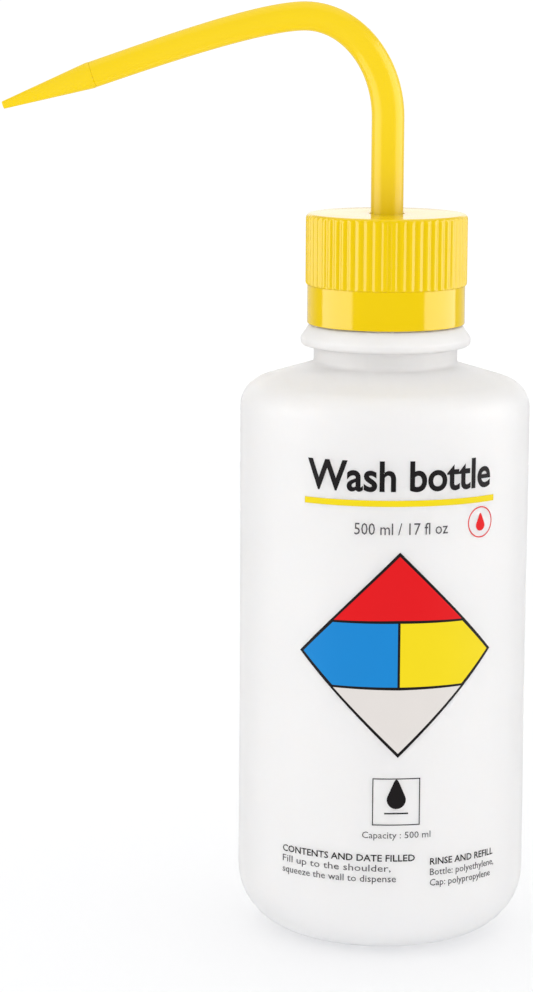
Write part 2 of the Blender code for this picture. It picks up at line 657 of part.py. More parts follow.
make_bottle()
closure_axis = add_axis("closure_axis", (0.0, 0.0, 0.0))
cap_axis = add_axis("cap_axis", (0.0, 0.0, 0.0), closure_axis)
spout_axis = add_axis("spout_axis", (0.0, 0.0, 0.0), closure_axis)
ball_axis = add_axis("ball_axis", (VALVE_X, 0.0, BALL_REST_Z), closure_axis)
make_cap(cap_axis)
make_insert(closure_axis)
make_seals(closure_axis)
make_valve(closure_axis, ball_axis)
make_spout(spout_axis)
make_tip(spout_axis)
make_dip_tube(spout_axis)
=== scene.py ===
import math

import bmesh
import bpy
from mathutils import Matrix, Vector
from mathutils.geometry import interpolate_bezier


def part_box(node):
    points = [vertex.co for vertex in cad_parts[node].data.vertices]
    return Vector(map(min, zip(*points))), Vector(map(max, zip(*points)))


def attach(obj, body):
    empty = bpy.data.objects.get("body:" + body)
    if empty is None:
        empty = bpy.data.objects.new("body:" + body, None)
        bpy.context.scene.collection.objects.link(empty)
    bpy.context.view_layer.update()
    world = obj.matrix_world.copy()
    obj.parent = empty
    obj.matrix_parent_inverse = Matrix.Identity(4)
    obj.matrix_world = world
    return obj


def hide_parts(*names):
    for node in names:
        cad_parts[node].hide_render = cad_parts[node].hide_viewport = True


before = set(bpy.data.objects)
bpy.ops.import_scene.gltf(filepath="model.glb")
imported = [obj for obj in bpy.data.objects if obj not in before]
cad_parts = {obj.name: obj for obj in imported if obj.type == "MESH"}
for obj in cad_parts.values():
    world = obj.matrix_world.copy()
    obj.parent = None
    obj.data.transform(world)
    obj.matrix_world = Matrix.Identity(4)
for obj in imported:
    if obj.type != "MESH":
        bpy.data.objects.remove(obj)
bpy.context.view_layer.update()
mm = 0.001
print("frame loaded")


# Sizes below are in millimetres, and heights are taken from the frame's own nodes.
def nodeBox(node):
    low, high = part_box(node)
    return low / mm, high / mm


def eased(share):
    # a share of 0 to 1 with a soft start and a soft end
    return share * share * (3 - 2 * share)


def roundedOutline(corners, stepAngle=9.0):
    # corners are (radius, height, rounding); each rounding becomes an arc
    points = []
    for i, (r, z, rounding) in enumerate(corners):
        corner = Vector((r, z))
        if not rounding:
            points.append(corner)
            continue
        back = (Vector(corners[i - 1][:2]) - corner).normalized()
        ahead = (Vector(corners[(i + 1) % len(corners)][:2]) - corner).normalized()
        halfAngle = back.angle(ahead) / 2
        center = corner + (back + ahead).normalized() * rounding / math.sin(halfAngle)
        start = corner + back * rounding / math.tan(halfAngle) - center
        turnAngle = math.pi - 2 * halfAngle
        side = math.copysign(1.0, -start.cross(back))
        steps = max(2, round(math.degrees(turnAngle) / stepAngle))
        for k in range(steps + 1):
            spun = Matrix.Rotation(side * turnAngle * k / steps, 2) @ start
            points.append(center + spun)
    return points


def turnOutline(bm, points, steps, closed=False):
    # spins an outline of (radius, height) once about Z
    verts = [bm.verts.new((r * mm, 0.0, z * mm)) for r, z in points]
    pairs = list(zip(verts, verts[1:]))
    if closed:
        pairs.append((verts[-1], verts[0]))
    edges = [bm.edges.new(pair) for pair in pairs]
    bmesh.ops.spin(
        bm,
        geom=verts + edges,
        cent=(0, 0, 0),
        axis=(0, 0, 1),
        angle=2 * math.pi,
        steps=steps,
        use_merge=True,
    )
    bmesh.ops.remove_doubles(bm, verts=bm.verts, dist=0.002 * mm)  # closes the poles on the axis


def sweepRings(bm, stations, sides):
    # stations are (centre, direction, radius): one ring is extruded along them all
    ring = bmesh.ops.create_circle(bm, segments=sides, radius=1.0)["verts"]
    edges = list({e for v in ring for e in v.link_edges})
    here = Matrix.Identity(4)
    rings = []
    for center, direction, radius in stations:
        side = Vector((0.0, 1.0, 0.0))
        across = side.cross(direction).normalized()
        place = Matrix((side, across, direction)).transposed().to_4x4()
        place = Matrix.Translation(center * mm) @ place @ Matrix.Scale(radius * mm, 4)
        if rings:
            grown = bmesh.ops.extrude_edge_only(bm, edges=edges)["geom"]
            ring = [g for g in grown if isinstance(g, bmesh.types.BMVert)]
            edges = [g for g in grown if isinstance(g, bmesh.types.BMEdge)]
        bmesh.ops.transform(bm, matrix=place @ here.inverted(), verts=ring)
        here = place
        rings.append(edges)
    return rings


def finishPiece(bm, name, material, body, replaced=(), sharp=35.0):
    # sharp is the angle past which an edge stays crisp
    bmesh.ops.recalc_face_normals(bm, faces=bm.faces)
    mesh = bpy.data.meshes.new(name)
    bm.to_mesh(mesh)
    bm.free()
    mesh.materials.append(material)
    mesh.shade_smooth()
    mesh.set_sharp_from_angle(angle=math.radians(sharp))
    piece = bpy.data.objects.new(name, mesh)
    bpy.context.scene.collection.objects.link(piece)
    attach(piece, body)
    if replaced:
        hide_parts(*replaced)


# Shader groups shared by the plastics
def newGroup(name, inputs, outputs):
    group = bpy.data.node_groups.new(name, "ShaderNodeTree")
    for socketName, kind, value in inputs:
        socket = group.interface.new_socket(socketName, in_out="INPUT", socket_type=kind)
        if value is not None:
            socket.default_value = value
    for socketName, kind in outputs:
        group.interface.new_socket(socketName, in_out="OUTPUT", socket_type=kind)
    return group, group.nodes.new("NodeGroupInput"), group.nodes.new("NodeGroupOutput")


def addNode(tree, kind, **settings):
    node = tree.nodes.new(kind)
    for key, value in settings.items():
        setattr(node, key, value)
    return node


def buildMouldGrain():
    # fine sparkle of a moulded skin over slow flow waves
    group, given, out = newGroup(
        "mouldGrain",
        [
            ("Grain Scale", "NodeSocketFloat", 2600.0),
            ("Wave Scale", "NodeSocketFloat", 60.0),
            ("Wave Share", "NodeSocketFloat", 0.5),
        ],
        [("Height", "NodeSocketFloat")],
    )
    links = group.links
    coords = addNode(group, "ShaderNodeTexCoord")
    grain = addNode(group, "ShaderNodeTexNoise")
    grain.inputs["Detail"].default_value = 3.0
    wave = addNode(group, "ShaderNodeTexNoise")
    wave.inputs["Detail"].default_value = 2.0
    blend = addNode(group, "ShaderNodeMix", data_type="FLOAT")
    links.new(coords.outputs["Object"], grain.inputs["Vector"])
    links.new(coords.outputs["Object"], wave.inputs["Vector"])
    links.new(given.outputs["Grain Scale"], grain.inputs["Scale"])
    links.new(given.outputs["Wave Scale"], wave.inputs["Scale"])
    links.new(given.outputs["Wave Share"], blend.inputs["Factor"])
    links.new(grain.outputs["Fac"], blend.inputs["A"])
    links.new(wave.outputs["Fac"], blend.inputs["B"])
    links.new(blend.outputs["Result"], out.inputs["Height"])
    return group


def buildHandlingWear():
    # faint rub marks: long scratches running round the piece, broken up by smudges
    group, given, out = newGroup(
        "handlingWear",
        [
            ("Scratch Scale", "NodeSocketFloat", 220.0),
            ("Smudge Scale", "NodeSocketFloat", 45.0),
            ("Amount", "NodeSocketFloat", 0.5),
        ],
        [("Mask", "NodeSocketFloat")],
    )
    links = group.links
    coords = addNode(group, "ShaderNodeTexCoord")
    stretch = addNode(group, "ShaderNodeMapping")
    stretch.inputs["Rotation"].default_value = (0.5, 0.3, 0.2)
    stretch.inputs["Scale"].default_value = (0.12, 0.12, 1.0)
    scratch = addNode(group, "ShaderNodeTexNoise")
    scratch.inputs["Detail"].default_value = 6.0
    scratch.inputs["Roughness"].default_value = 0.7
    lines = addNode(group, "ShaderNodeMapRange")
    lines.inputs["From Min"].default_value = 0.6
    lines.inputs["From Max"].default_value = 0.72
    smudge = addNode(group, "ShaderNodeTexNoise")
    smudge.inputs["Detail"].default_value = 4.0
    patches = addNode(group, "ShaderNodeMapRange")
    patches.inputs["From Min"].default_value = 0.42
    patches.inputs["From Max"].default_value = 0.75
    both = addNode(group, "ShaderNodeMath", operation="MAXIMUM")
    scaled = addNode(group, "ShaderNodeMath", operation="MULTIPLY")
    links.new(coords.outputs["Object"], stretch.inputs["Vector"])
    links.new(stretch.outputs["Vector"], scratch.inputs["Vector"])
    links.new(given.outputs["Scratch Scale"], scratch.inputs["Scale"])
    links.new(scratch.outputs["Fac"], lines.inputs["Value"])
    links.new(coords.outputs["Object"], smudge.inputs["Vector"])
    links.new(given.outputs["Smudge Scale"], smudge.inputs["Scale"])
    links.new(smudge.outputs["Fac"], patches.inputs["Value"])
    links.new(lines.outputs["Result"], both.inputs[0])
    links.new(patches.outputs["Result"], both.inputs[1])
    links.new(both.outputs["Value"], scaled.inputs[0])
    links.new(given.outputs["Amount"], scaled.inputs[1])
    links.new(scaled.outputs["Value"], out.inputs["Mask"])
    return group


mouldGrain = buildMouldGrain()
handlingWear = buildHandlingWear()


def mouldedPlastic(name, look):
    # colour that drifts a little, rubbed places that are duller, and a fine moulded skin
    material = bpy.data.materials.new(name)
    material.use_nodes = True
    tree = material.node_tree
    links = tree.links
    shader = tree.nodes["Principled BSDF"]
    shader.inputs["IOR"].default_value = 1.5
    shader.inputs["Specular IOR Level"].default_value = look.get("gloss", 0.5)
    shader.inputs["Transmission Weight"].default_value = look.get("transmission", 0.0)
    shader.inputs["Subsurface Weight"].default_value = look.get("subsurface", 0.0)
    shader.inputs["Subsurface Radius"].default_value = (1.0, 0.95, 0.9)
    shader.inputs["Subsurface Scale"].default_value = look.get("scatterDepth", 5.0) * mm
    coords = addNode(tree, "ShaderNodeTexCoord")
    drift = addNode(tree, "ShaderNodeTexNoise")
    drift.inputs["Scale"].default_value = look.get("driftScale", 30.0)
    drift.inputs["Detail"].default_value = 3.0
    links.new(coords.outputs["Object"], drift.inputs["Vector"])
    tint = addNode(tree, "ShaderNodeMix", data_type="RGBA")
    tint.inputs["A"].default_value = (*look["color"], 1.0)
    tint.inputs["B"].default_value = (*look["driftColor"], 1.0)
    links.new(drift.outputs["Fac"], tint.inputs["Factor"])
    links.new(tint.outputs["Result"], shader.inputs["Base Color"])
    wear = addNode(tree, "ShaderNodeGroup", node_tree=handlingWear)
    wear.inputs["Amount"].default_value = 0.4
    dull = addNode(tree, "ShaderNodeMapRange")
    dull.inputs["To Min"].default_value = look["roughness"]
    dull.inputs["To Max"].default_value = look["wornRoughness"]
    links.new(wear.outputs["Mask"], dull.inputs["Value"])
    links.new(dull.outputs["Result"], shader.inputs["Roughness"])
    grain = addNode(tree, "ShaderNodeGroup", node_tree=mouldGrain)
    grain.inputs["Grain Scale"].default_value = look.get("grainScale", 2600.0)
    grain.inputs["Wave Scale"].default_value = look.get("waveScale", 60.0)
    grain.inputs["Wave Share"].default_value = look.get("waveShare", 0.5)
    bump = addNode(tree, "ShaderNodeBump")
    bump.inputs["Strength"].default_value = look.get("bump", 0.3)
    bump.inputs["Distance"].default_value = look.get("bumpDepth", 0.05) * mm
    links.new(grain.outputs["Height"], bump.inputs["Height"])
    links.new(bump.outputs["Normal"], shader.inputs["Normal"])
    return material


def tone(red, green, blue):
    # display values of 0 to 255 as the linear numbers that shaders take
    linear = []
    for value in (red, green, blue):
        share = value / 255
        linear.append(((share + 0.055) / 1.055) ** 2.4 if share > 0.04 else share / 12.92)
    return tuple(linear)


naturalPlastic = mouldedPlastic(
    "naturalPlastic",
    {
        "color": (0.99, 0.969, 0.951),
        "driftColor": (0.98, 0.957, 0.938),
        "roughness": 0.42,
        "wornRoughness": 0.55,
        "transmission": 0.4,
        "subsurface": 0.6,
        "scatterDepth": 5.0,
        "gloss": 0.35,
        "bump": 0.25,
        "driftScale": 14.0,
        "waveScale": 40.0,
        "waveShare": 0.75,
        "bumpDepth": 0.15,
    },
)
yellowPlastic = mouldedPlastic(
    "yellowPlastic",
    {
        "color": (0.68, 0.468, 0.0),
        "driftColor": (0.70, 0.486, 0.0),
        "roughness": 0.12,
        "wornRoughness": 0.2,
        "gloss": 0.55,
        "bump": 0.1,
        "bumpDepth": 0.006,
    },
)
spoutPlastic = mouldedPlastic(
    "spoutPlastic",
    {
        "color": (0.745, 0.527, 0.001),
        "driftColor": (0.727, 0.509, 0.0),
        "roughness": 0.24,
        "wornRoughness": 0.34,
        "gloss": 0.38,
        "bumpDepth": 0.01,
    },
)
tubePlastic = mouldedPlastic(
    "tubePlastic",
    {
        "color": (0.80, 0.79, 0.77),
        "driftColor": (0.74, 0.73, 0.71),
        "roughness": 0.3,
        "wornRoughness": 0.45,
        "transmission": 0.1,
    },
)
insertPlastic = mouldedPlastic(
    "insertPlastic",
    {
        "color": (0.86, 0.85, 0.83),
        "driftColor": (0.82, 0.81, 0.79),
        "roughness": 0.38,
        "wornRoughness": 0.5,
    },
)
gasketFoam = mouldedPlastic(
    "gasketFoam",
    {
        "color": (0.88, 0.88, 0.86),
        "driftColor": (0.80, 0.80, 0.78),
        "roughness": 0.85,
        "wornRoughness": 0.95,
        "grainScale": 1500.0,
        "waveShare": 0.1,
        "bump": 0.8,
        "bumpDepth": 0.2,
    },
)
sealRubber = mouldedPlastic(
    "sealRubber",
    {
        "color": (0.02, 0.02, 0.021),
        "driftColor": (0.035, 0.035, 0.034),
        "roughness": 0.5,
        "wornRoughness": 0.7,
    },
)
ballGlass = mouldedPlastic(
    "ballGlass",
    {
        "color": (0.92, 0.97, 0.95),
        "driftColor": (0.88, 0.94, 0.92),
        "roughness": 0.03,
        "wornRoughness": 0.12,
        "transmission": 1.0,
        "bump": 0.02,
    },
)
inkStrength = 0.74  # the share of an ink's tone that the soft light needs
inkTones = {
    "black": (33, 29, 30),
    "grey": (84, 80, 82),
    "red": (232, 14, 22),
    "blue": (18, 137, 212),
    "yellow": (246, 220, 20),
    "pale": (228, 222, 217),
}
inks = {}
for inkName, inkTone in inkTones.items():
    full = tuple(inkStrength * c for c in tone(*inkTone))
    inks[inkName] = mouldedPlastic(
        inkName + "Ink",
        {
            "color": full,
            "driftColor": tuple(0.94 * c + 0.002 for c in full),
            "driftScale": 90.0,
            "roughness": 0.45,
            "wornRoughness": 0.6,
            "gloss": 0.1,
            "grainScale": 4000.0,
            "bumpDepth": 0.01,
        },
    )
print("materials ready")


bottle = {
    "wall": 1.3,
    "drawIn": 0.2,
    "heel": 16.4,
    "wallRows": 12,
    "shoulderStart": 139.9,
    "shoulderRound": 7.6,
    "shoulderSlope": 17.0,
    "neck": 18.8,
    "neckFillet": 1.3,
    "neckWall": 1.35,
    "finish": 17.55,  # radius at the foot of the thread
    "rimRound": 0.4,
    "bead": 22.3,
    "beadBottom": 155.5,
    "beadHeight": 4.6,
    "beadWidest": 2.5,  # height of its widest ring over its bottom
    "beadRound": 1.1,
    "beadSlope": 2.3,
    "beadCrown": 1.25,  # rise of its soft top
    "threadPitch": 25.4 / 6,
    "threadDepth": 1.2,
    "threadHalfWidth": 1.15,
    "threadTurns": 1.6,
    "threadBelowRim": 2.6,
    "threadRunout": 50.0,
    "threadMargin": 1.6,
    "threadRows": 36,
    "pushUp": 1.6,
    "pushUpRadius": 9.0,
    "pushUpRound": 6.0,
    "footInset": 0.7,
    "steps": 192,
}

bodyRadius = nodeBox("bottle_body")[1].x
rimHeight = nodeBox("bottle_body")[1].z
threadStart = rimHeight - bottle["threadBelowRim"] - bottle["threadTurns"] * bottle["threadPitch"]


def threadLevels(start):
    # heights of the rows that carry a thread
    margin, count = bottle["threadMargin"], bottle["threadRows"]
    low = start - margin
    high = start + bottle["threadTurns"] * bottle["threadPitch"] + margin
    return [low + (high - low) * k / count for k in range(count + 1)]


def wallRadius(z):
    # the straight wall draws in a little at mid height
    low, high = bottle["heel"], bottle["shoulderStart"]
    share = min(1.0, max(0.0, (z - low) / (high - low)))
    return bodyRadius - bottle["drawIn"] * math.sin(math.pi * share)


def threadRise(angle, z, start, sizes):
    # how far a moulded thread stands out at this place; start is its height at angle 0
    pitch = sizes["threadPitch"]
    turns = sizes["threadTurns"]
    runout = sizes["threadRunout"] / 360
    rise = 0.0
    for lap in range(math.ceil(turns) + 1):
        along = lap + (angle % (2 * math.pi)) / (2 * math.pi)
        if along > turns:
            continue
        away = abs(z - start - pitch * along) / sizes["threadHalfWidth"]
        fade = min(1.0, along / runout, (turns - along) / runout)
        flank = min(1.0, max(0.0, 1.75 - 1.3 * away))  # a flat crest between soft flanks
        rise = max(rise, math.sqrt(max(0.0, fade)) * eased(flank))
    return rise * sizes["threadDepth"]


def pushThread(bm, radius, start, sizes, side):
    # moves the rows of a thread off their wall: side is 1 outwards and -1 inwards
    levels = threadLevels(start)
    for vert in bm.verts:
        r = math.hypot(vert.co.x, vert.co.y) / mm
        z = vert.co.z / mm
        if abs(r - radius) < 0.02 and levels[0] < z < levels[-1]:
            angle = math.atan2(vert.co.y, vert.co.x)
            grown = 1 + side * threadRise(angle, z, start, sizes) / r
            vert.co.x *= grown
            vert.co.y *= grown


def makeBottle():
    tilt = math.radians(bottle["shoulderSlope"])
    cornerRun = bottle["shoulderRound"] / math.tan((math.pi / 2 + tilt) / 2)
    corner = bottle["shoulderStart"] + cornerRun
    neckFoot = corner + (bodyRadius - bottle["neck"]) * math.tan(tilt)
    beadBottom, bead = bottle["beadBottom"], bottle["bead"]
    beadTop = beadBottom + bottle["beadHeight"]
    rows = bottle["wallRows"]
    wallRun = bottle["shoulderStart"] - bottle["heel"]
    wallLevels = [bottle["heel"] + wallRun * k / rows for k in range(1, rows)]
    bore = bottle["finish"] - bottle["neckWall"]
    wall = bottle["wall"]
    pushUp, pushUpRadius, pushUpRound = bottle["pushUp"], bottle["pushUpRadius"], bottle["pushUpRound"]
    heelFoot = bodyRadius - bottle["heel"] - bottle["footInset"]
    outside = [
        (0.0, pushUp, 0.0),
        (pushUpRadius, pushUp, pushUpRound),
        (heelFoot, 0.0, pushUpRound),
        (bodyRadius, 0.0, bottle["heel"]),
        *((wallRadius(z), z, 0.0) for z in wallLevels),
        (bodyRadius, corner, bottle["shoulderRound"]),
        (bottle["neck"], neckFoot, bottle["neckFillet"]),
        (bottle["neck"], beadBottom, 0.4),
        (bead - 0.2, beadBottom + 0.8, 0.9),
        (bead, beadBottom + bottle["beadWidest"], bottle["beadRound"]),
        (bead - bottle["beadSlope"], beadTop + bottle["beadCrown"], 0.8),
        (bottle["finish"], beadTop + bottle["beadCrown"] + 0.1, 0.2),
        *((bottle["finish"], z, 0.0) for z in threadLevels(threadStart)),
        (bottle["finish"], rimHeight, bottle["rimRound"]),
        (bore, rimHeight, bottle["rimRound"]),
    ]
    inside = [
        (bore, neckFoot + 1.0, 1.0),
        (bore, neckFoot - wall, 1.5),
        (bodyRadius - wall, corner - wall * 0.8, bottle["shoulderRound"] - wall),
        *((wallRadius(z) - wall, z, 0.0) for z in reversed(wallLevels)),
        (bodyRadius - wall, wall, bottle["heel"] - wall),
        (heelFoot, wall, pushUpRound - 1.0),
        (pushUpRadius, pushUp + wall, pushUpRound - 1.0),
        (0.0, pushUp + wall, 0.0),
    ]
    bm = bmesh.new()
    turnOutline(bm, roundedOutline(outside + inside), bottle["steps"])
    pushThread(bm, bottle["finish"], threadStart, bottle, 1)
    finishPiece(bm, "bottle_shell", naturalPlastic, "bottle", ["bottle_body"])


makeBottle()
print("bottle made")


panel = {
    "lift": 0.03,  # how far the ink stands off the wall
    "overlay": 0.02,  # how much further the diamond's fields stand off
    "sink": 0.03,
    "stripe": 1.0,  # width between the upright cuts
    "courses": (20, 130, 10),  # first height, last height and spacing of the level cuts
    "title": ("Wash bottle", -21.6, 28.8, 123.35, 7.6, 0.02),  # words, left, right, base, height, weight
    "volume": ("500 ml / 17 fl oz", -8.8, 15.6, 112.1, 3.0, 0.0),
    "underline": (-22.5, 30.2, 119.3, 120.9),  # left, right, bottom, top
    "ring": (25.6, 114.2, 4.05, 0.32),  # middle, height, radius, line
    "diamond": (3.0, 80.9, 26.7),  # middle, height, half its width
    "band": 8.6,
    "keyline": 0.45,
    "frame": (2.75, 42.6, 6.2, 0.26),  # middle, height, half its width, line
    "ringDrop": (-0.2, 0.36),  # height over the middle and size, as shares of the ring's radius
    "frameDrop": (0.1, 0.4),  # the same, of half the frame's width
    "frameBar": (0.5, -0.52, -0.46),  # half its length, bottom and top, as shares of the same
    "captions": (
        ("Capacity : 500 ml", -6.0, 11.9, 33.0, 1.7, 0.0, "grey"),
        ("CONTENTS AND DATE FILLED", -28.9, 7.8, 26.9, 1.75, 0.014, "black"),
        ("Fill up to the shoulder,", -28.9, 1.5, 24.2, 1.75, 0.0, "grey"),
        ("squeeze the wall to dispense", -28.9, 2.9, 21.4, 1.75, 0.0, "grey"),
        ("RINSE AND REFILL", 11.9, 32.2, 25.6, 1.75, 0.014, "black"),
        ("Bottle: polyethylene,", 11.9, 32.6, 22.8, 1.75, 0.0, "grey"),
        ("Cap: polypropylene", 11.9, 31.2, 20.0, 1.75, 0.0, "grey"),
    ),
}


# The panel is drawn flat in (width round the wall, height), then wrapped on the wall.
def drawBar(bm, left, right, bottom, top):
    place = Matrix.Translation(((left + right) / 2, (bottom + top) / 2, 0))
    place = place @ Matrix.Diagonal((right - left, top - bottom, 1, 1))
    bmesh.ops.create_grid(bm, x_segments=1, y_segments=1, size=0.5, matrix=place)


def drawDisc(bm, u, z, radius, segments):
    place = Matrix.Translation((u, z, 0))
    made = bmesh.ops.create_circle(bm, cap_ends=True, segments=segments, radius=radius, matrix=place)
    return made["verts"]


def drawText(bm, text, left, right, base, height, weight):
    # lettering stretched between two sides, its ascenders as tall as height
    curve = bpy.data.curves.new("lettering", "FONT")
    curve.body = text
    curve.offset = weight
    curve.resolution_u = 6 if height > 5 else 2
    letters = bpy.data.objects.new("lettering", curve)
    bpy.context.scene.collection.objects.link(letters)
    graph = bpy.context.evaluated_depsgraph_get()
    mesh = bpy.data.meshes.new_from_object(letters.evaluated_get(graph))
    bpy.data.objects.remove(letters)
    xs = [v.co.x for v in mesh.vertices]
    ascender = max(v.co.y for v in mesh.vertices)
    wide = (right - left) / (max(xs) - min(xs))
    stretch = Matrix.Diagonal((wide, height / ascender, 1, 1))
    mesh.transform(Matrix.Translation((left - min(xs) * wide, base, 0)) @ stretch)
    bm.from_mesh(mesh)
    bmesh.ops.remove_doubles(bm, verts=bm.verts, dist=0.001)


def drawRing(bm, u, z, radius, line):
    # the face between two circles
    edges = []
    for size in (radius, radius - line):
        place = Matrix.Translation((u, z, 0))
        made = bmesh.ops.create_circle(bm, segments=64, radius=size, matrix=place)["verts"]
        edges += {e for v in made for e in v.link_edges}
    bmesh.ops.bridge_loops(bm, edges=edges)


def drawDrop(bm, u, z, radius):
    # a droplet is a disc whose upper points are drawn up to a tip
    for vert in drawDisc(bm, u, z, radius, 40):
        up = (vert.co.y - z) / radius
        if up > 0:
            vert.co.y = z + radius * (up + 1.15 * up ** 3)
            vert.co.x = u + (vert.co.x - u) * (1 - 0.35 * up * up)


def diamondFaces(bm):
    # a square on its corner, cut into a top, two sides and a foot
    u, z, half = panel["diamond"]
    band = panel["band"]
    drawDisc(bm, u, z, half - panel["keyline"] * math.sqrt(2), 4)
    for level in (z + band, z - band):
        everything = bm.verts[:] + bm.edges[:] + bm.faces[:]
        bmesh.ops.bisect_plane(bm, geom=everything, plane_co=(u, level, 0), plane_no=(0, 1, 0))
    middle = [f for f in bm.faces if abs(f.calc_center_median().y - z) < 1]
    parts = {item for f in middle for item in (f, *f.edges, *f.verts)}
    bmesh.ops.bisect_plane(bm, geom=list(parts), plane_co=(u, z, 0), plane_no=(1, 0, 0))
    rims = bmesh.ops.inset_individual(bm, faces=bm.faces[:], thickness=panel["keyline"])["faces"]
    bmesh.ops.delete(bm, geom=rims, context="FACES")


def diamondPart(u, z):
    # which ink a place in the diamond takes
    middle, level = panel["diamond"][:2]
    if z > level + panel["band"]:
        return "red"
    if z < level - panel["band"]:
        return "pale"
    return "blue" if u < middle else "yellow"


def wrapInk(bm, name, ink, lift):
    # cuts the flat drawing into stripes, gives it a thickness and lays it on the wall
    us = [v.co.x for v in bm.verts]
    zs = [v.co.y for v in bm.verts]
    stripe = panel["stripe"]
    stripes = range(math.ceil(min(us) / stripe), math.ceil(max(us) / stripe))
    cuts = [((k * stripe, 0, 0), (1, 0, 0)) for k in stripes]
    cuts += [((0, z, 0), (0, 1, 0)) for z in range(*panel["courses"]) if min(zs) < z < max(zs)]
    for place, way in cuts:
        everything = bm.verts[:] + bm.edges[:] + bm.faces[:]
        bmesh.ops.bisect_plane(bm, geom=everything, dist=0.0005, plane_co=place, plane_no=way)
    bmesh.ops.triangulate(bm, faces=[f for f in bm.faces if len(f.verts) > 4])
    grown = bmesh.ops.extrude_face_region(bm, geom=bm.faces[:])["geom"]
    outer = {g for g in grown if isinstance(g, bmesh.types.BMVert)}
    for vert in bm.verts:
        u, z = vert.co.x, vert.co.y
        r = wallRadius(z) + (lift if vert in outer else -panel["sink"])
        vert.co = Vector((r * math.sin(u / bodyRadius), -r * math.cos(u / bodyRadius), z)) * mm
    finishPiece(bm, name, inks[ink], "bottle")


def makePanel():
    drawings = {ink: bmesh.new() for ink in ("black", "grey", "red", "yellow")}
    drawText(drawings["black"], *panel["title"])
    drawText(drawings["grey"], *panel["volume"])
    drawBar(drawings["yellow"], *panel["underline"])
    u, z, radius, line = panel["ring"]
    drawRing(drawings["red"], u, z, radius, line)
    rise, size = panel["ringDrop"]
    drawDrop(drawings["red"], u, z + radius * rise, radius * size)
    u, z, half, line = panel["frame"]
    for side in (-1, 1):
        post, rail = u + side * (half - line / 2), z + side * (half - line / 2)
        drawBar(drawings["black"], post - line / 2, post + line / 2, z - half, z + half)
        drawBar(drawings["black"], u - half + line, u + half - line, rail - line / 2, rail + line / 2)
    rise, size = panel["frameDrop"]
    drawDrop(drawings["black"], u, z + half * rise, half * size)
    reach, bottom, top = panel["frameBar"]
    drawBar(drawings["black"], u - half * reach, u + half * reach, z + half * bottom, z + half * top)
    for *lettering, ink in panel["captions"]:
        drawText(drawings[ink], *lettering)
    u, z, half = panel["diamond"]
    drawDisc(drawings["black"], u, z, half, 4)
    for ink, bm in drawings.items():
        wrapInk(bm, "print_" + ink, ink, panel["lift"])
    for ink in ("red", "blue", "yellow", "pale"):
        bm = bmesh.new()
        diamondFaces(bm)
        others = [f for f in bm.faces if diamondPart(*f.calc_center_median().xy) != ink]
        bmesh.ops.delete(bm, geom=others, context="FACES")
        wrapInk(bm, "print_field_" + ink, ink, panel["lift"] + panel["overlay"])


makePanel()
print("panel printed")


cap = {
    "skirt": 20.6,
    "bore": 19.1,
    "leadIn": 0.6,
    "topWall": 1.6,
    "bandHeight": 18.55,
    "ribs": 58,
    "ribDepth": 0.45,
    "ribShape": 1.15,  # over 1 widens the crests and narrows the valleys
    "ribRound": 0.9,  # height of a rib's round foot
    "ribRows": 6,
    "edgeRound": 1.3,
    "hole": 4.6,
    "vent": 0.9,
    "ventFromAxis": 12.5,
    "pointsPerRib": 8,
    "threadPitch": bottle["threadPitch"],
    "threadDepth": 1.05,
    "threadHalfWidth": 0.9,
    "threadTurns": bottle["threadTurns"],
    "threadRunout": 50.0,
    "threadUnder": 1.85,  # drop of its thread below the bottle's
}


def cutVent(bm, top, under):
    # bores the small vent hole down through the cap's top
    tool = bmesh.new()
    bmesh.ops.create_cone(
        tool,
        cap_ends=True,
        segments=32,
        radius1=cap["vent"] * mm,
        radius2=cap["vent"] * mm,
        depth=(top - under + 2) * mm,
        matrix=Matrix.Translation(Vector((0, cap["ventFromAxis"], (top + under) / 2)) * mm),
    )
    pieces = []
    for name, part in (("capBlank", bm), ("ventTool", tool)):
        mesh = bpy.data.meshes.new(name)
        part.to_mesh(mesh)
        pieces.append(bpy.data.objects.new(name, mesh))
        bpy.context.scene.collection.objects.link(pieces[-1])
    tool.free()
    blank, drill = pieces
    cut = blank.modifiers.new("vent", "BOOLEAN")
    cut.object = drill
    graph = bpy.context.evaluated_depsgraph_get()
    bored = bpy.data.meshes.new_from_object(blank.evaluated_get(graph))
    bm.clear()
    bm.from_mesh(bored)
    for piece in pieces:
        bpy.data.objects.remove(piece)


